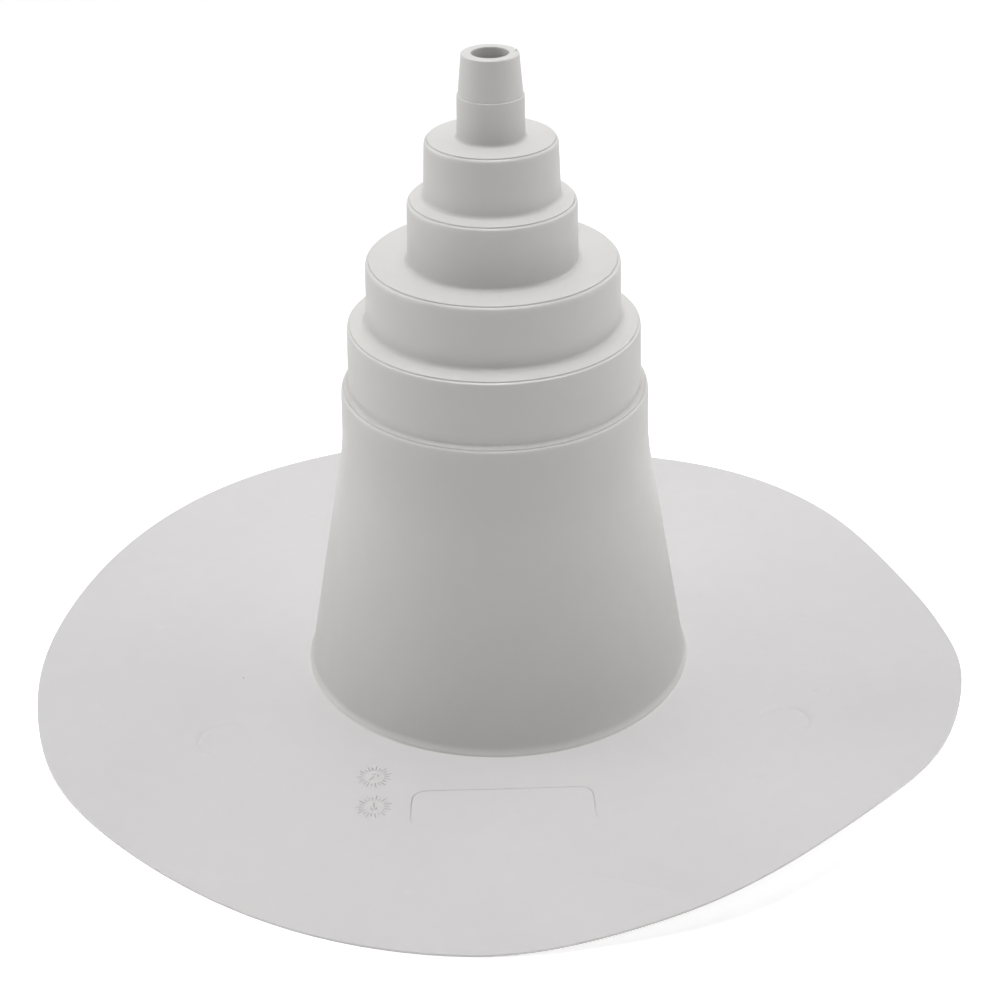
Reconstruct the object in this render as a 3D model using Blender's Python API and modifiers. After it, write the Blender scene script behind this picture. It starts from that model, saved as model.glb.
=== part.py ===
"""Stepped pipe flashing for a membrane roof: a round flange, a cone and a stack of steps.

The real object is one soft plastic moulding. Its user cuts it apart along the fine line at the edge of each
step, so each length between two lines is a piece of its own here. All pieces are turned about the +Z axis,
the flange's underside lies on z = 0 and the origin is at its centre.

Every piece is one closed profile of (radius, height) points in millimetres, turned by a Screw modifier.
"""

import math

import bpy

MM = 0.001
SEGMENTS = 64

# Wall and flange
WALL = 1.5
CUT_GAP = 0.3
FLANGE_RADIUS = 153.6
FLANGE_THICKNESS = 1.0
RIM_THICKNESS = 0.7
FEATHER_WIDTH = 12.0

# Cone, from the foot up to the kink under the collar band
CONE_FOOT_RADIUS = 62.45
CONE_TOP_RADIUS = 49.0
KINK_HEIGHT = 79.5
FOOT_FILLET = 2.0

# Steps, from the top down. Each has its cutting line (radius, height), its wall's radius at the top and at
# the bottom, because the walls widen a little towards the flange, how far the ledge at its foot rises from
# the next cutting line to the wall (the widest one sinks instead), and the hollow round between the two.
STEPS = [
    {"name": "ring_40", "line": (19.2, 180.6), "wall": (20.1, 20.75), "ledge_rise": 1.1, "fillet": 0.8},
    {"name": "ring_50", "line": (24.9, 161.8), "wall": (25.8, 26.1), "ledge_rise": -0.4, "fillet": 0.4},
    {"name": "ring_75", "line": (38.1, 142.7), "wall": (39.1, 39.4), "ledge_rise": 1.1, "fillet": 0.8},
    {"name": "ring_90", "line": (44.8, 121.8), "wall": (45.6, 45.95), "ledge_rise": 0.4, "fillet": 0.8},
]
BAND = {"name": "collar_band", "line": (47.5, 100.7), "wall": (48.35, 48.85)}
LIP_HEIGHT = 1.9
LIP_POINTS = 3
FILLET_POINTS = 3

# Nozzle
NOZZLE_TOP = 206.2
NOZZLE_STEP = 193.9
HOLE_RADIUS = 5.6
TIP_RADIUS = (8.7, 9.75)
TIP_EDGE = 0.5
TIP_BORE_FOOT = 7.4
SLEEVE = {"wall": (10.0, 10.2), "ledge_rise": 0.3, "fillet": 0.4}

PLASTIC = {"color": (0.62, 0.61, 0.60, 1.0), "roughness": 0.55, "metallic": 0.0}


def clear_scene():
    for obj in list(bpy.data.objects):
        bpy.data.objects.remove(obj, do_unlink=True)


def make_collection(name):
    collection = bpy.data.collections.new(name)
    bpy.context.scene.collection.children.link(collection)
    return collection


def make_material(name):
    material = bpy.data.materials.new(name)
    material.use_nodes = True
    shader = material.node_tree.nodes["Principled BSDF"]
    shader.inputs["Base Color"].default_value = PLASTIC["color"]
    shader.inputs["Roughness"].default_value = PLASTIC["roughness"]
    shader.inputs["Metallic"].default_value = PLASTIC["metallic"]
    return material


def turned_piece(name, profile, collection):
    """Turn a closed profile, given down its outer side and back up its inner side, into one named piece."""
    count = len(profile)
    mesh = bpy.data.meshes.new(name)
    points = [(radius * MM, 0.0, height * MM) for radius, height in profile]
    edges = [(index, (index + 1) % count) for index in range(count)]
    mesh.from_pydata(points, edges, [])
    mesh.materials.append(make_material(name))
    piece = bpy.data.objects.new(name, mesh)
    collection.objects.link(piece)
    screw = piece.modifiers.new("turn", "SCREW")
    screw.axis = "Z"
    screw.angle = math.tau
    screw.steps = SEGMENTS
    screw.render_steps = SEGMENTS
    screw.use_merge_vertices = True
    screw.merge_threshold = 0.00001
    screw.use_smooth_shade = True
    return piece


def lip_arc(line, wall_top):
    """Rounded shoulder from the cutting line down to the wall: a quarter of an ellipse."""
    width = wall_top - line[0]
    arc = []
    for index in range(LIP_POINTS + 1):
        turn = index / LIP_POINTS * math.pi / 2
        arc.append((line[0] + width * math.sin(turn), line[1] - LIP_HEIGHT * (1 - math.cos(turn))))
    return arc


def fillet_arc(corner, radius):
    """Hollow round from a wall down to the ledge that it stands on."""
    arc = []
    for index in range(FILLET_POINTS + 1):
        turn = index / FILLET_POINTS * math.pi / 2
        arc.append((corner[0] + radius * (1 - math.cos(turn)), corner[1] + radius * (1 - math.sin(turn))))
    return arc


def cut_ends(step):
    """The cut through a step's corner, from its cutting line in to the wall's inner corner.

    Returns the two ends for the piece above the cut and the two for the piece below, half a gap either way.
    """
    line_radius, line_height = step["line"]
    inner_radius = step["wall"][0] - WALL
    inner_height = line_height - WALL
    along_radius = line_radius - inner_radius
    along_height = line_height - inner_height
    length = math.hypot(along_radius, along_height)
    shift = (along_height / length * CUT_GAP / 2, -along_radius / length * CUT_GAP / 2)
    outer = (line_radius, line_height)
    inner = (inner_radius, inner_height)
    above = [(x - shift[0], z - shift[1]) for x, z in (outer, inner)]
    below = [(x + shift[0], z + shift[1]) for x, z in (outer, inner)]
    return above, below


def wall_to_ledge(step, next_step):
    """Outer points from a wall's foot to the next cut, and inner points back up to the wall's inner foot."""
    above, _ = cut_ends(next_step)
    wall_foot = step["wall"][1]
    ledge_height = next_step["line"][1] + step["ledge_rise"]
    outer = fillet_arc((wall_foot, ledge_height), step["fillet"]) + [above[0]]
    inner = [above[1], (wall_foot - WALL, ledge_height - WALL)]
    return outer, inner


def nozzle_tip_profile():
    seam = NOZZLE_STEP + CUT_GAP / 2
    return [
        (TIP_RADIUS[0] - TIP_EDGE, NOZZLE_TOP),
        (TIP_RADIUS[0], NOZZLE_TOP - TIP_EDGE),
        (TIP_RADIUS[1], seam),
        (TIP_BORE_FOOT, seam),
        (HOLE_RADIUS, NOZZLE_TOP),
    ]


def nozzle_sleeve_profile():
    seam = NOZZLE_STEP - CUT_GAP / 2
    outer, inner = wall_to_ledge(SLEEVE, STEPS[0])
    return [(SLEEVE["wall"][0], seam)] + outer + inner + [(TIP_BORE_FOOT, seam)]


def ring_profile(step, next_step):
    _, below = cut_ends(step)
    outer, inner = wall_to_ledge(step, next_step)
    shoulder = [below[0]] + lip_arc(step["line"], step["wall"][0])[1:]
    return shoulder + outer + inner + [below[1]]


def collar_band_profile():
    _, below = cut_ends(BAND)
    wall_top, wall_foot = BAND["wall"]
    seam = KINK_HEIGHT + CUT_GAP / 2
    shoulder = [below[0]] + lip_arc(BAND["line"], wall_top)[1:]
    return shoulder + [(wall_foot, seam), (wall_foot - WALL, seam), below[1]]


def cone_skirt_profile():
    seam = KINK_HEIGHT - CUT_GAP / 2
    foot_edge = CONE_FOOT_RADIUS + FOOT_FILLET
    outer = [(CONE_TOP_RADIUS, seam)] + fillet_arc((CONE_FOOT_RADIUS, FLANGE_THICKNESS), FOOT_FILLET)
    inner = [(foot_edge, 0.0), (CONE_FOOT_RADIUS - WALL, 0.0), (CONE_TOP_RADIUS - WALL, seam)]
    return outer + inner


def flange_profile():
    inner_edge = CONE_FOOT_RADIUS + FOOT_FILLET + CUT_GAP
    return [
        (inner_edge, FLANGE_THICKNESS),
        (FLANGE_RADIUS - FEATHER_WIDTH, FLANGE_THICKNESS),
        (FLANGE_RADIUS, RIM_THICKNESS),
        (FLANGE_RADIUS, 0.0),
        (inner_edge, 0.0),
    ]


def build():
    clear_scene()
    collection = make_collection("stepped_pipe_flashing")
    turned_piece("flange_sheet", flange_profile(), collection)
    turned_piece("cone_skirt", cone_skirt_profile(), collection)
    turned_piece("collar_band", collar_band_profile(), collection)
    for step, next_step in zip(STEPS, STEPS[1:] + [BAND]):
        turned_piece(step["name"], ring_profile(step, next_step), collection)
    turned_piece("nozzle_sleeve", nozzle_sleeve_profile(), collection)
    turned_piece("nozzle_tip", nozzle_tip_profile(), collection)


build()
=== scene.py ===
"""Looks of a stepped pipe flashing, the soft grey plastic boot that seals a pipe through a membrane roof.

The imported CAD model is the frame. Each of its nine nodes is shown here by one finer closed piece: turned
shells with a small step, a groove and a rounded lip at each cutting line, and a flange whose limp edge lifts
at the front right. A tenth piece is a crumb of flash on the nozzle's rim.

Outlines are (radius, height) points in millimetres, heights being above the flange's underside. Azimuths are
in degrees, 0 along +X and 90 along +Y, so the camera looks from azimuth -90.
"""

import math
import random

import bpy
from mathutils import Matrix, Vector
from mathutils.geometry import delaunay_2d_cdt
from mathutils.kdtree import KDTree


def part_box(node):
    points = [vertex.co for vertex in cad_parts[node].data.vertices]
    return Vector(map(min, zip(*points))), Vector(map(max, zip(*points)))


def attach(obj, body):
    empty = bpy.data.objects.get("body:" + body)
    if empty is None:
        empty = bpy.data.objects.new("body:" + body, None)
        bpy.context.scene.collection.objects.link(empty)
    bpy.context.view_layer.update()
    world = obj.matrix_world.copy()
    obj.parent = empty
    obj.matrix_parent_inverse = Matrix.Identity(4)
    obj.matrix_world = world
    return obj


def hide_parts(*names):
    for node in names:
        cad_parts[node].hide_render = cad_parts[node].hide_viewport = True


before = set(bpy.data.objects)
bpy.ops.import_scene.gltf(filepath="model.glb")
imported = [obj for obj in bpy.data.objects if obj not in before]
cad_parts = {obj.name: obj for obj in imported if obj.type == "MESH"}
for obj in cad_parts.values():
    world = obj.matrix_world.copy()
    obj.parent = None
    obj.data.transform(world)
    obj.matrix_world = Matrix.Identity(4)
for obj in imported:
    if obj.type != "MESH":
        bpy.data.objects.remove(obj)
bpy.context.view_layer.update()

MM = 0.001
SEGMENTS = 240
SHARP_DEGREES = 38
WALL = 1.5
# Leeway when the CAD's corners are picked by their height
NUDGE = 0.05

STACK = ["nozzle_tip", "nozzle_sleeve", "ring_40", "ring_50", "ring_75", "ring_90", "collar_band"]

# Cutting lines. The CAD leaves a gap there, and CUT_SHIFT leads from its edges to the line in its middle.
# The ledge ends in a low step down to the groove, and beyond the groove the lip starts with a narrow bevel.
CUT_SHIFT = (0.139, 0.056)
GROOVE_HALF = 0.04
GROOVE_DEPTH = 0.2
LEDGE_STEP = 0.42
BEVEL = (0.6, 0.32)
SHOULDER_CORNER = 0.8
SHOULDER_END = (0.03, 2.4)
LIP_DROP = 1.9

# Walls' feet: the hollow round, how far the ledge there stands above the next cutting line, and how far above
# that line the CAD's own round ends at most
FOOT_ROUND = {"nozzle_sleeve": 1.0, "ring_40": 1.5, "ring_50": 1.3, "ring_75": 1.6, "ring_90": 0.8}
LEDGE_RISE = {"nozzle_sleeve": 0.3, "ring_40": 0.9, "ring_50": -0.3, "ring_75": 0.95, "ring_90": 0.4}
FOOT_REACH = 2.5
INSIDE_ROUND = 0.5

# A parting line on the lowest ring's wall: how far it stands proud, and its height above the ledge
BEAD = ((-0.01, 3.6), (0.05, 2.7), (0.04, 2.4), (-0.02, 2.1))

# Nozzle: how much wider than its rim the tip is at depths below the rim, then at heights above the seam, and
# how much narrower than its hole the bore is at a depth below the rim
TIP_UPPER = ((0.08, 2.6), (0.33, 5.2), (0.57, 7.9), (0.76, 10))
TIP_LOWER = ((0.84, 1.2), (0.93, 0.5), (0.98, 0))
BORE_NECK = (0.95, 5.0)
SLEEVE_DRAFT = 0.2

# Burr on the nozzle's rim: its middle, how far each corner of its base reaches out, and its peak
BURR_PLACE = (7.4, 1.5)
BURR_SINK = 0.1
BURR_REACHES = (0.8, 0.45, 0.6, 0.35, 0.75, 0.5, 0.3)
BURR_NARROWING = 0.7
BURR_PEAK = (0.3, 0.1, 0.7)

# Cone and sheet
KINK_REACH = 7.5
CONE_FLARE_HEIGHT = 2.4
CONE_FLARE = 0.6
CONE_FOOT_ROUND = 0.6
CONE_MIDDLE = 30
SHEET = 0.75
CAD_FOOT_ROUND = 2.0
CAD_SEAM = 0.3


# ---------------------------------------------------------------- sizes from the frame

BOXES = {node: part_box(node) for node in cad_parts}


def lowest(node):
    return BOXES[node][0].z / MM


def highest(node):
    return BOXES[node][1].z / MM


def widest(node):
    return BOXES[node][1].x / MM


def radius_between(node, low, high, pick=max):
    """The largest radius, or another pick, of a CAD node's corners between two heights."""
    radii = []
    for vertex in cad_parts[node].data.vertices:
        if low - NUDGE <= vertex.co.z / MM <= high + NUDGE:
            radii.append(math.hypot(vertex.co.x, vertex.co.y) / MM)
    return pick(radii)


def below(node):
    return STACK[STACK.index(node) + 1]


def cut_line(node):
    """Radius and height of the groove between a stacked node and the one above it."""
    above = STACK[STACK.index(node) - 1]
    return widest(above) + CUT_SHIFT[0], highest(node) + CUT_SHIFT[1]


def wall_top(node):
    """Outer radius of a stacked node's wall just under its rounded lip."""
    height = cut_line(node)[1]
    return radius_between(node, height - LIP_DROP, height)


def inner_corner(node):
    """Where a groove's cut meets the inside of the wall."""
    return wall_top(node) - WALL, cut_line(node)[1] - WALL


# ---------------------------------------------------------------- outlines

def curve(start, corner, end, steps):
    """Points on a quadratic curve that leaves start towards corner and comes into end from it."""
    points = []
    for index in range(steps + 1):
        t = index / steps
        pulls = (((1 - t) ** 2, start), (2 * t * (1 - t), corner), (t * t, end))
        points.append(tuple(sum(weight * point[axis] for weight, point in pulls) for axis in (0, 1)))
    return points


def quarter_round(top, side, steps):
    """Points on a quarter ellipse that is level at top and upright at side."""
    points = []
    for index in range(steps + 1):
        turn = index / steps * math.pi / 2
        radius = top[0] + (side[0] - top[0]) * math.sin(turn)
        points.append((radius, side[1] + (top[1] - side[1]) * math.cos(turn)))
    return points


def crest_height(node):
    """Height of the top of a node's lip, which lies a little lower than the ledge's edge above it."""
    return cut_line(node)[1] - LEDGE_STEP / 2


def groove_bottom(node):
    return cut_line(node)[0], crest_height(node) - GROOVE_DEPTH


def lip(node):
    """From the groove's bottom down a narrow bevel and over the rounded shoulder to the wall."""
    radius, height = cut_line(node)[0], crest_height(node)
    wall = wall_top(node)
    edge = (radius + BEVEL[0], height - BEVEL[1])
    end = (wall + SHOULDER_END[0], height - SHOULDER_END[1])
    shoulder = curve(edge, (wall, height - SHOULDER_CORNER), end, 10)
    return [groove_bottom(node), (radius + GROOVE_HALF, height)] + shoulder


def ledge_end(node):
    """From the ledge above a node over its edge, down a low riser and into the node's groove."""
    radius, height = cut_line(node)[0] - GROOVE_HALF, crest_height(node)
    top = height + LEDGE_STEP
    side = radius - 0.02
    edge = curve((radius - 0.15, top + 0.02), (side, top), (side, top - 0.12), 3)
    return edge + [(radius, height), groove_bottom(node)]


def ledge_height(node):
    """Height of the ledge at the foot of a node's wall."""
    return cut_line(below(node))[1] + LEDGE_RISE[node]


def foot(node, radius):
    """The hollow round from a wall of a given radius into its ledge."""
    ledge = ledge_height(node)
    size = FOOT_ROUND[node]
    return curve((radius, ledge + size), (radius, ledge), (radius + size, ledge), 8)


def ledge_underside(node, radius):
    """From the cut under a node in to the inner foot of its wall, whose outer radius is given."""
    under = ledge_height(node) - WALL
    inside = radius - WALL
    corner = curve((inside + INSIDE_ROUND, under), (inside, under), (inside, under + INSIDE_ROUND), 3)
    return [inner_corner(below(node))] + corner


# ---------------------------------------------------------------- turned pieces

def make_piece(name, points, faces, node, material):
    """One closed mesh, shaded smooth but for its real edges, that stands for a CAD node."""
    mesh = bpy.data.meshes.new(name)
    mesh.from_pydata([Vector(point) * MM for point in points], [], faces)
    mesh.materials.append(material)
    mesh.shade_smooth()
    mesh.set_sharp_from_angle(angle=math.radians(SHARP_DEGREES))
    piece = bpy.data.objects.new(name, mesh)
    bpy.context.scene.collection.objects.link(piece)
    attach(piece, "root")
    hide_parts(node)
    return piece


def turned(node, outline, material):
    """Turn a closed outline about Z. It runs down its outer side and back up its inner side."""
    rows = len(outline)
    points = []
    for index in range(SEGMENTS):
        turn = index / SEGMENTS * math.tau
        points += [(radius * math.cos(turn), radius * math.sin(turn), height) for radius, height in outline]
    faces = []
    for index in range(SEGMENTS):
        here, there = index * rows, (index + 1) % SEGMENTS * rows
        for row in range(rows):
            after = (row + 1) % rows
            faces.append((here + row, here + after, there + after, there + row))
    return make_piece(node + "_shell", points, faces, node, material)


def nozzle_seam():
    return (lowest("nozzle_tip") + highest("nozzle_sleeve")) / 2


def nozzle_bore():
    return radius_between("nozzle_tip", lowest("nozzle_tip"), lowest("nozzle_tip"), min)


def nozzle_tip_outline():
    """A short cone with a flat rim round its hole, widening a little just above the step at its foot."""
    top, seam = highest("nozzle_tip"), nozzle_seam()
    hole = radius_between("nozzle_tip", top, top, min)
    rim = radius_between("nozzle_tip", top - 1, top)
    outline = quarter_round((rim - 0.45, top), (rim - 0.1, top - 0.4), 6)
    outline += [(rim + wider, top - depth) for wider, depth in TIP_UPPER]
    outline += [(rim + wider, seam + height) for wider, height in TIP_LOWER]
    outline += [(nozzle_bore(), seam), (hole - BORE_NECK[0], top - BORE_NECK[1])]
    return outline + curve((hole - 0.1, top - 0.3), (hole - 0.1, top), (hole + 0.1, top), 4)


def nozzle_burr(material):
    """A ragged crumb of flash left on the nozzle's rim: an uneven cone, 1 mm across, on a closed base."""
    count = len(BURR_REACHES)
    centre = Vector((*BURR_PLACE, highest("nozzle_tip") - BURR_SINK))
    points = []
    for index, reach in enumerate(BURR_REACHES):
        turn = index / count * math.tau
        points.append(centre + Vector((BURR_NARROWING * reach * math.cos(turn), reach * math.sin(turn), 0.0)))
    points.append(centre + Vector(BURR_PEAK))
    faces = [(index, (index + 1) % count, count) for index in range(count)]
    faces.append(tuple(reversed(range(count))))
    return make_piece("nozzle_burr", points, faces, "nozzle_tip", material)


def nozzle_sleeve_outline():
    """A straight tube whose rounded upper edge stands proud of the tip, standing on the topmost ledge."""
    seam = nozzle_seam()
    wall = radius_between("nozzle_sleeve", seam - 1, seam)
    foot_radius = wall + SLEEVE_DRAFT
    outline = [(wall - 0.3, seam)] + quarter_round((wall - 0.15, seam), (wall + 0.04, seam - 0.3), 5)
    outline += foot("nozzle_sleeve", foot_radius) + ledge_end("ring_40")
    return outline + ledge_underside("nozzle_sleeve", foot_radius) + [(nozzle_bore(), seam)]


def wall_foot(node):
    """Outer radius of a ring's wall at the top of the CAD's round at its foot."""
    line_radius, line_height = cut_line(below(node))
    corners = []
    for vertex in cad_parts[node].data.vertices:
        radius, height = math.hypot(vertex.co.x, vertex.co.y) / MM, vertex.co.z / MM
        if radius < line_radius - 1 and height < line_height + FOOT_REACH:
            corners.append((height, radius))
    return max(corners)[1]


def ring_outline(node):
    """A step: its lip, its wall and the ledge at its foot out to the next cutting line."""
    radius = wall_foot(node)
    outline = lip(node)
    if node == "ring_90":
        outline += [(radius + proud, ledge_height(node) + height) for proud, height in BEAD]
    outline += foot(node, radius) + ledge_end(below(node)) + ledge_underside(node, radius)
    return outline + [inner_corner(node)]


def cone_radius(height):
    """Outer radius of the cone's straight wall, from the CAD node's two ends."""
    top = highest("cone_skirt")
    top_radius = radius_between("cone_skirt", top, top)
    foot_radius = widest("cone_skirt") - CAD_FOOT_ROUND
    foot_height = highest("flange_sheet") + CAD_FOOT_ROUND
    return top_radius + (top - height) / (top - foot_height) * (foot_radius - top_radius)


def kink_blend():
    """The soft bend from the collar band's steep wall to the cone, about the CAD's corner between them."""
    corner = (lowest("collar_band") + highest("cone_skirt")) / 2
    band_foot = radius_between("collar_band", 0, corner + 1)
    shoulder = cut_line("collar_band")[1] - LIP_DROP
    draft = (band_foot - wall_top("collar_band")) / (shoulder - corner)
    upper = (band_foot - draft * KINK_REACH, corner + KINK_REACH)
    return curve(upper, (band_foot, corner), (cone_radius(corner - KINK_REACH), corner - KINK_REACH), 16)


def collar_band_outline(blend):
    middle = len(blend) // 2
    seam = blend[middle]
    return lip("collar_band") + blend[:middle + 1] + [(seam[0] - WALL, seam[1]), inner_corner("collar_band")]


def flange_start():
    """Radius of the seam between cone and flange."""
    return widest("cone_skirt") + CAD_SEAM


def cone_skirt_outline(blend):
    """The cone widens more and more over its last few millimetres and meets the flange in a small round."""
    middle = len(blend) // 2
    seam = blend[middle]
    low = SHEET + CONE_FOOT_ROUND
    high = low + CONE_FLARE_HEIGHT
    bend = low + CONE_FLARE_HEIGHT / 2
    flared = cone_radius(low) + CONE_FLARE
    outline = blend[middle:] + [(cone_radius(CONE_MIDDLE), CONE_MIDDLE)]
    outline += curve((cone_radius(high), high), (cone_radius(bend), bend), (flared, low), 10)
    outline += curve((flared, low), (flared, SHEET), (flared + CONE_FOOT_ROUND, SHEET), 6)[1:]
    outline += [(flange_start(), SHEET), (flange_start(), 0.0)]
    return outline + [(cone_radius(0) - WALL, 0.0), (seam[0] - WALL, seam[1])]


# ---------------------------------------------------------------- flange

# Smooth humps in the flange, each (size in mm, azimuth, spread): its lifted edge, which lies flat wherever
# the humps come to less than LIFT_REST, and its uneven outline
RIM_LIFTS = ((15.0, -49.0, 26.0), (4.7, -13.0, 12.0))
LIFT_REST = 1.0
RIM_BUMPS = ((-4.4, 18.0, 15.0), (-9.0, 75.0, 18.0), (1.9, 133.0, 17.0), (-1.2, 168.0, 14.0),
             (1.4, -152.0, 11.0), (-1.3, -129.0, 16.0), (-1.5, -77.0, 10.0), (-0.9, -42.0, 13.0))
BEND_POWER = 1.9

# Rows of points from the cone's foot to the rim, with two close to the rim for its rounded upper edge
SHEET_ROWS = 30
RIM_SHARES = [0.985, 0.9993]
RIM_SIDE = (0.07, 0.05)


def humps(azimuth, rows):
    """Sum of smooth humps, each given as (size, centre, spread), the last two in degrees."""
    total = 0.0
    for size, centre, spread in rows:
        away = (azimuth - centre + 180) % 360 - 180
        total += size * math.exp(-(away / spread) ** 2)
    return total


def rim_radius(azimuth):
    return widest("flange_sheet") + humps(azimuth, RIM_BUMPS)


def share_of(radius, azimuth):
    """How far out a point lies on the flange, from 0 at the cone's foot to 1 at the rim."""
    return (radius - flange_start()) / (rim_radius(azimuth) - flange_start())


def lift(radius, azimuth):
    """Height of the underside, which bends up ever more towards the rim."""
    share = max(0.0, share_of(radius, azimuth))
    return max(0.0, humps(azimuth, RIM_LIFTS) - LIFT_REST) * share ** BEND_POWER


def top_height(radius, azimuth):
    """Height of the upper face."""
    return lift(radius, azimuth) + SHEET


def flange_row(share, height_of):
    """One ring of flange points at a share of the way out, with height_of(radius, azimuth)."""
    row = []
    for index in range(SEGMENTS):
        azimuth = index / SEGMENTS * 360
        radius = flange_start() + share * (rim_radius(azimuth) - flange_start())
        turn = math.radians(azimuth)
        row.append((radius * math.cos(turn), radius * math.sin(turn), height_of(radius, azimuth)))
    return row


# ---------------------------------------------------------------- marks moulded into the flange's upper face

class Marks:
    """Shallow grooves as points with a depth, and the edges that run along them."""

    def __init__(self):
        self.points = []
        self.depths = []
        self.edges = []

    def groove(self, path, width, depth, fade=1.5):
        """Sink a groove along an open path. It narrows and fades out over a length at its two ends."""
        lengths = [0.0]
        for start, end in zip(path, path[1:]):
            lengths.append(lengths[-1] + math.dist(start, end))
        first = len(self.points)
        for index, (x, y) in enumerate(path):
            ahead, behind = path[min(index + 1, len(path) - 1)], path[max(index - 1, 0)]
            along = Vector((ahead[0] - behind[0], ahead[1] - behind[1])).normalized()
            inside = min(lengths[index], lengths[-1] - lengths[index])
            share = min(1.0, inside / fade)
            half = width / 2 * (0.3 + 0.7 * share)
            across = (-along.y * half, along.x * half)
            self.points += [(x + across[0], y + across[1]), (x, y), (x - across[0], y - across[1])]
            self.depths += [0.0, depth * share, 0.0]
        for index in range(len(path) - 1):
            row = first + 3 * index
            self.edges += [(row + rail, row + 3 + rail) for rail in range(3)]

    def pit(self, centre, radius, depth):
        """Sink a small six-sided pit, or raise a pip if the depth is negative."""
        first = len(self.points)
        self.points.append(centre)
        self.depths.append(depth)
        for index in range(6):
            turn = index / 6 * math.tau
            self.points.append((centre[0] + radius * math.cos(turn), centre[1] + radius * math.sin(turn)))
            self.depths.append(0.0)
            self.edges.append((first + 1 + index, first + 1 + (index + 1) % 6))


def walk(corners, step=1.5):
    """Points no more than a step apart along straight lines between corners."""
    path = [corners[0]]
    for start, end in zip(corners, corners[1:]):
        count = max(1, math.ceil(math.dist(start, end) / step))
        for index in range(1, count + 1):
            share = index / count
            path.append(tuple(a + (b - a) * share for a, b in zip(start, end)))
    return path


def arc(centre, radius, start, end, steps):
    path = []
    for index in range(steps + 1):
        turn = math.radians(start + (end - start) * index / steps)
        path.append((centre[0] + radius * math.cos(turn), centre[1] + radius * math.sin(turn)))
    return path


def insert_outline():
    """The fine line round an exchangeable mould insert: a top edge, two round corners and two sides."""
    left, right = (-27.1, -96.0), (28.6, -96.0)
    path = walk([left, (-27.0, -84.8)])
    path += curve((-27.0, -84.8), (-26.8, -79.9), (-21.9, -79.7), 7)[1:]
    path += walk([(-21.9, -79.7), (23.6, -79.0)])[1:]
    path += curve((23.6, -79.0), (28.0, -78.9), (28.3, -83.6), 7)[1:]
    return path + walk([(28.3, -83.6), right])[1:]


DIAL_TICKS = 22
ARROW = (((0.0, -2.2), (0.0, 0.3)), ((-1.1, 0.3), (-0.3, 1.7)), ((1.1, 0.3), (0.3, 1.7)))


def date_dial(marks, centre, pointer):
    """A small round dial of radial ticks with an arrow in its middle."""
    for index in range(DIAL_TICKS):
        turn = index / DIAL_TICKS * math.tau
        along = Vector((math.cos(turn), math.sin(turn)))
        start, end = Vector(centre) + along * 2.9, Vector(centre) + along * (5.7 if index % 2 else 4.9)
        marks.groove(walk([tuple(start), tuple(end)], 0.5), 0.45, 0.38, 0.6)
    turn = Matrix.Rotation(math.radians(pointer), 2)
    for stroke in ARROW:
        ends = [tuple(Vector(centre) + turn @ Vector(end)) for end in stroke]
        marks.groove(walk(ends, 0.4), 0.7, 0.45, 0.4)


def scuffs(marks, chance):
    """Short fine scratches scattered over the right of the flange."""
    for _ in range(12):
        x, y = chance.uniform(86, 120), chance.uniform(-34, 22)
        turn = math.radians(chance.gauss(35, 25))
        length = chance.uniform(1.0, 4.0)
        end = (x + length * math.cos(turn), y + length * math.sin(turn))
        marks.groove(walk([(x, y), end], 0.8), 0.35, chance.uniform(0.05, 0.12), 0.6)


def pits_and_pips(marks, chance):
    """Tiny pits and pips scattered over the whole flange."""
    for _ in range(26):
        turn, radius = chance.uniform(0, math.tau), chance.uniform(72, 138)
        centre = (radius * math.cos(turn), radius * math.sin(turn))
        marks.pit(centre, chance.uniform(0.2, 0.35), chance.choice((0.15, -0.1)))


# Date dials as (centre, arrow's turn), and part circles, such as an ejector pin leaves, as (centre, radius,
# start, end, depth)
DIALS = (((-38.9, -72.3), -35), ((-38.3, -87.2), 180))
PIN_ARCS = (((-86.9, -52.4), 8.5, 20, 250, 0.12), ((90.5, -48.2), 8.0, -60, 170, 0.16))
CREASE = [(28.0, -123.0), (41.0, -130.0), (53.0, -136.0)]
PINHOLE = (-84.8, -17.3)


def flange_marks():
    marks = Marks()
    chance = random.Random(7)
    marks.groove(insert_outline(), 0.5, 0.32, 9.0)
    for centre, pointer in DIALS:
        date_dial(marks, centre, pointer)
    for centre, radius, start, end, depth in PIN_ARCS:
        marks.groove(arc(centre, radius, start, end, 44), 0.6, depth, 4.0)
    marks.groove(walk(CREASE), 0.5, 0.08, 6.0)
    marks.pit(PINHOLE, 0.4, 0.55)
    scuffs(marks, chance)
    pits_and_pips(marks, chance)
    return marks


def clear_of(marks, spots, distance):
    """Whether each spot keeps a distance from every mark."""
    tree = KDTree(len(marks.points))
    for index, point in enumerate(marks.points):
        tree.insert((*point, 0.0), index)
    tree.balance()
    return [tree.find((x, y, 0.0))[2] > distance for x, y, _ in spots]


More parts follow.
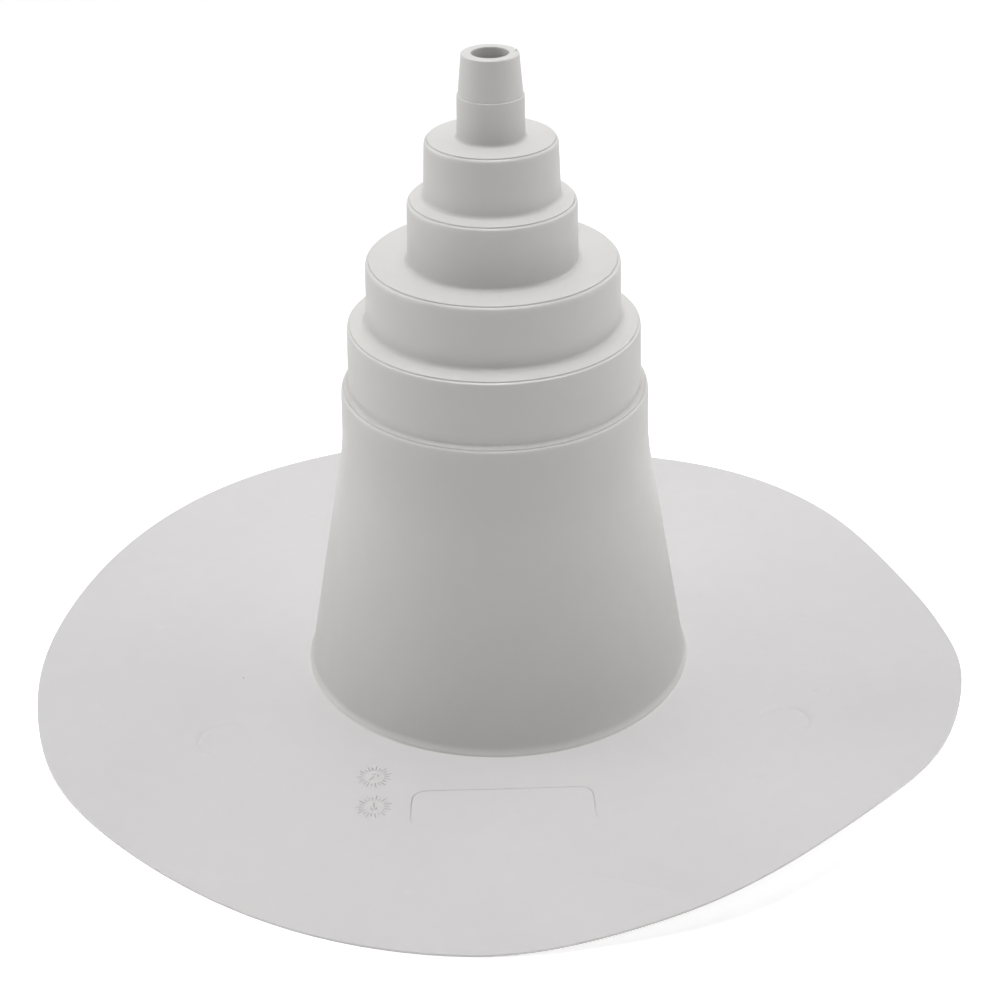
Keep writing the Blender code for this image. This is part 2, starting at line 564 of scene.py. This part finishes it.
def flange_top(rows):
    """Triangles over the upper face's rows of points and the marks between them.

    Returns 3-D points and faces. The first and last rows' points come first, in order.
    """
    marks = flange_marks()
    inner, outer = rows[0], rows[-1]
    middle = [point for row in rows[1:-1] for point in row]
    kept = [point for point, free in zip(middle, clear_of(marks, middle, 0.8)) if free]
    flat = [Vector(point[:2]) for point in inner + outer + kept] + [Vector(point) for point in marks.points]
    depths = [0.0] * (len(flat) - len(marks.depths)) + marks.depths
    edges = [(index, (index + 1) % SEGMENTS) for index in range(SEGMENTS)]
    edges += [(SEGMENTS + start, SEGMENTS + end) for start, end in edges]
    first_mark = len(flat) - len(marks.points)
    edges += [(first_mark + start, first_mark + end) for start, end in marks.edges]
    spots, _, faces, origins, _, _ = delaunay_2d_cdt(flat, edges, [], 0, 1e-5)
    places = {}
    points = []
    for index, (spot, sources) in enumerate(zip(spots, origins)):
        depth = max((depths[source] for source in sources), key=abs, default=0.0)
        azimuth = math.degrees(math.atan2(spot.y, spot.x))
        points.append((spot.x, spot.y, top_height(spot.length, azimuth) - depth))
        for source in sources:
            places[source] = index
    ring = {places[index]: index // SEGMENTS for index in range(2 * SEGMENTS)}
    # A triangle whose corners all lie on one ring is in the hole or outside the rim, and is left out
    sheet = []
    for face in faces:
        rings = {ring.get(index) for index in face}
        if rings not in ({0}, {1}):
            sheet.append(tuple(face))
    return points, sheet, [places[index] for index in range(2 * SEGMENTS)]


def flange_piece(material):
    """The flange: a marked upper face, a blunt rim, a plain underside and a short wall against the cone."""
    shares = [index / SHEET_ROWS for index in range(SHEET_ROWS)] + RIM_SHARES
    points, faces, rings = flange_top([flange_row(share, top_height) for share in shares])
    rows = [rings[SEGMENTS:]]
    lower = [flange_row(1.0, lambda radius, azimuth: top_height(radius, azimuth) - RIM_SIDE[0])]
    lower.append(flange_row(1.0, lambda radius, azimuth: lift(radius, azimuth) + RIM_SIDE[1]))
    lower += [flange_row(share, lift) for share in reversed(shares)]
    for row in lower:
        rows.append(list(range(len(points), len(points) + SEGMENTS)))
        points += row
    rows.append(rings[:SEGMENTS])
    for here, there in zip(rows, rows[1:]):
        for index in range(SEGMENTS):
            after = (index + 1) % SEGMENTS
            faces.append((here[index], there[index], there[after], here[after]))
    return make_piece("flange_sheet_shell", points, faces, "flange_sheet", material)


# ---------------------------------------------------------------- material

BODY_COLOUR = (0.492, 0.4855, 0.475)
SHEET_COLOUR = (0.49, 0.4805, 0.483)
ROUGHNESS = 0.46
FLOOR_COLOUR = (0.74, 0.74, 0.74, 1)


class Shader:
    """A material's node tree, with short ways to add nodes and links."""

    def __init__(self, name):
        self.material = bpy.data.materials.new(name)
        self.material.use_nodes = True
        self.nodes = self.material.node_tree.nodes
        self.links = self.material.node_tree.links
        self.surface = self.nodes["Principled BSDF"]
        self.place = self.nodes.new("ShaderNodeTexCoord").outputs["Object"]

    def noise(self, scale, detail=2.0):
        node = self.nodes.new("ShaderNodeTexNoise")
        node.inputs["Scale"].default_value = scale
        node.inputs["Detail"].default_value = detail
        self.links.new(self.place, node.inputs["Vector"])
        return node.outputs["Fac"]

    def spread(self, value, low, high, out_low, out_high):
        """Map a value's range from low..high onto out_low..out_high, held at the ends."""
        node = self.nodes.new("ShaderNodeMapRange")
        self.links.new(value, node.inputs["Value"])
        ends = {"From Min": low, "From Max": high, "To Min": out_low, "To Max": out_high}
        for name, number in ends.items():
            node.inputs[name].default_value = number
        return node.outputs["Result"]

    def math(self, operation, first, second):
        node = self.nodes.new("ShaderNodeMath")
        node.operation = operation
        for socket, value in zip(node.inputs, (first, second)):
            if isinstance(value, (int, float)):
                socket.default_value = value
            else:
                self.links.new(value, socket)
        return node.outputs["Value"]

    def specks(self, scale, size, share):
        """1 inside a few small round specks and 0 elsewhere."""
        node = self.nodes.new("ShaderNodeTexVoronoi")
        node.inputs["Scale"].default_value = scale
        self.links.new(self.place, node.inputs["Vector"])
        picked = self.math("LESS_THAN", node.outputs["Color"], share)
        inside = self.spread(node.outputs["Distance"], size * 0.6, size, 1.0, 0.0)
        return self.math("MULTIPLY", inside, picked)


def plastic(name, colour):
    """Soft light-grey plastic: faintly uneven in shade and gloss, fine-grained, with a few dark specks."""
    shader = Shader(name)
    shade = shader.math("ADD", shader.spread(shader.noise(14.0, 3.0), 0.3, 0.7, 0.985, 1.015),
                        shader.spread(shader.noise(160.0), 0.3, 0.7, -0.008, 0.008))
    shade = shader.math("SUBTRACT", shade, shader.math("MULTIPLY", shader.specks(110.0, 0.035, 0.06), 0.3))
    mix = shader.nodes.new("ShaderNodeVectorMath")
    mix.operation = "SCALE"
    mix.inputs[0].default_value = colour
    shader.links.new(shade, mix.inputs["Scale"])
    shader.links.new(mix.outputs["Vector"], shader.surface.inputs["Base Color"])
    gloss = shader.spread(shader.noise(60.0, 4.0), 0.3, 0.7, ROUGHNESS - 0.05, ROUGHNESS + 0.06)
    shader.links.new(gloss, shader.surface.inputs["Roughness"])
    bump = shader.nodes.new("ShaderNodeBump")
    bump.inputs["Strength"].default_value = 0.25
    bump.inputs["Distance"].default_value = 0.00005
    shader.links.new(shader.noise(1100.0, 3.0), bump.inputs["Height"])
    shader.links.new(bump.outputs["Normal"], shader.surface.inputs["Normal"])
    return shader.material


# ---------------------------------------------------------------- camera, stage and light

CAMERA_PLACE = (0.0, -0.57784, 0.38263)
CAMERA_PITCH = 29.379
CAMERA_YAW = 0.119
CAMERA_ROLL = -0.761
CAMERA_LENS = 73.31

# Softboxes: name, place and aim in metres, side in metres, power in watts, spread in degrees
OBJECT_MIDDLE = (0.0, 0.0, 0.08)
LIGHTS = (
    ("top", (0.0, 0.0, 1.8), OBJECT_MIDDLE, 0.4, 18.2, 180),
    ("top_pool", (0.0, 0.35, 1.6), (0.0, 0.35, 0.0), 0.8, 1.1, 70),
    ("left", (-1.5, -0.1, 0.75), OBJECT_MIDDLE, 1.2, 6.6, 180),
    ("left_low", (-1.3, 0.15, 0.35), OBJECT_MIDDLE, 0.7, 0.42, 60),
    ("left_back", (-1.2, 0.9, 0.7), OBJECT_MIDDLE, 1.0, 5.8, 180),
    ("right", (1.5, -0.1, 0.75), OBJECT_MIDDLE, 1.2, 7.8, 180),
    ("right_back", (1.2, 0.9, 0.7), OBJECT_MIDDLE, 1.0, 7.3, 180),
    ("back", (0.0, 1.6, 0.9), OBJECT_MIDDLE, 1.4, 5.8, 180),
    ("front", (0.0, -1.5, 1.3), OBJECT_MIDDLE, 0.6, 0.53, 40),
    ("front_right", (1.2, -1.2, 1.0), OBJECT_MIDDLE, 1.0, 0.7, 180),
)
WORLD_BRIGHTNESS = 0.01

# Floor, in metres. Each edge is the distances over which a glow changes.
FLOOR_SIDE = 30.0
FLOOR_CLEARANCE = 0.0002
FLOOR_GLOW = 0.14
# The round patch's extra glow is painted light: it washes out the shadows that the lifted flange edge and the
# rim cast on the floor.
SHADOW_WASH_PLACE = (0.03, -0.035, 0.0)
SHADOW_WASH_EDGE = (0.19, 0.26)
SHADOW_WASH_GLOW = 0.4
FAR_EDGE = (0.9, 2.8)
FAR_GLOW = 0.75


def add_camera():
    data = bpy.data.cameras.new("photo_camera")
    data.lens = CAMERA_LENS
    data.sensor_width = 36.0
    camera = bpy.data.objects.new("photo_camera", data)
    bpy.context.scene.collection.objects.link(camera)
    pitch, yaw, roll = (math.radians(angle) for angle in (CAMERA_PITCH, CAMERA_YAW, CAMERA_ROLL))
    look = Vector((math.sin(yaw) * math.cos(pitch), math.cos(yaw) * math.cos(pitch), -math.sin(pitch)))
    right = Vector((math.cos(yaw), -math.sin(yaw), 0.0))
    up = right.cross(look)
    turned_right = right * math.cos(roll) + up * math.sin(roll)
    turned_up = up * math.cos(roll) - right * math.sin(roll)
    facing = Matrix((turned_right, turned_up, -look)).transposed()
    camera.matrix_world = Matrix.Translation(CAMERA_PLACE) @ facing.to_4x4()
    bpy.context.scene.camera = camera


def add_softbox(name, place, aim, size, power, spread):
    """A square area light; a small spread acts like a grid in front of it."""
    data = bpy.data.lights.new(name, "AREA")
    data.shape = "SQUARE"
    data.size = size
    data.energy = power
    data.spread = math.radians(spread)
    light = bpy.data.objects.new(name, data)
    bpy.context.scene.collection.objects.link(light)
    light.location = place
    light.rotation_euler = (Vector(aim) - Vector(place)).to_track_quat("-Z", "Y").to_euler()


def add_world():
    world = bpy.data.worlds.new("studio")
    world.use_nodes = True
    world.node_tree.nodes["Background"].inputs["Color"].default_value = (1, 1, 1, 1)
    world.node_tree.nodes["Background"].inputs["Strength"].default_value = WORLD_BRIGHTNESS
    bpy.context.scene.world = world


def add_floor():
    """A matt white floor glowing a little, more far away, and more in a round patch by the object: painted
    light.
    """
    shader = Shader("floor_white_shadow_wash")
    away = shader.nodes.new("ShaderNodeVectorMath")
    away.operation = "DISTANCE"
    away.inputs[1].default_value = SHADOW_WASH_PLACE
    shader.links.new(shader.place, away.inputs[0])
    # Painted light: the floor round the object glows more, washing out the flange's shadows on it.
    shadow_wash_glow = shader.spread(away.outputs["Value"], *SHADOW_WASH_EDGE, FLOOR_GLOW + SHADOW_WASH_GLOW, FLOOR_GLOW)
    far = shader.spread(away.outputs["Value"], *FAR_EDGE, 0.0, FAR_GLOW)
    strength = shader.math("ADD", shadow_wash_glow, far)
    shader.surface.inputs["Base Color"].default_value = FLOOR_COLOUR
    shader.surface.inputs["Roughness"].default_value = 0.9
    shader.surface.inputs["Specular IOR Level"].default_value = 0.0
    shader.surface.inputs["Emission Color"].default_value = (1, 1, 1, 1)
    shader.links.new(strength, shader.surface.inputs["Emission Strength"])
    bpy.ops.mesh.primitive_plane_add(size=FLOOR_SIDE, location=(0, 0, -FLOOR_CLEARANCE))
    floor = bpy.context.object
    floor.name = "floor"
    floor.data.materials.append(shader.material)


def build():
    add_camera()
    add_world()
    add_floor()
    for name, place, aim, size, power, spread in LIGHTS:
        add_softbox(name + "_softbox", place, aim, size, power, spread)
    bpy.context.scene.view_settings.view_transform = "Standard"
    body = plastic("sleeve_plastic", BODY_COLOUR)
    sheet = plastic("flange_plastic", SHEET_COLOUR)
    blend = kink_blend()
    turned("nozzle_tip", nozzle_tip_outline(), body)
    nozzle_burr(body)
    turned("nozzle_sleeve", nozzle_sleeve_outline(), body)
    for node in STACK[2:-1]:
        turned(node, ring_outline(node), body)
    turned("collar_band", collar_band_outline(blend), body)
    turned("cone_skirt", cone_skirt_outline(blend), body)
    flange_piece(sheet)


build()
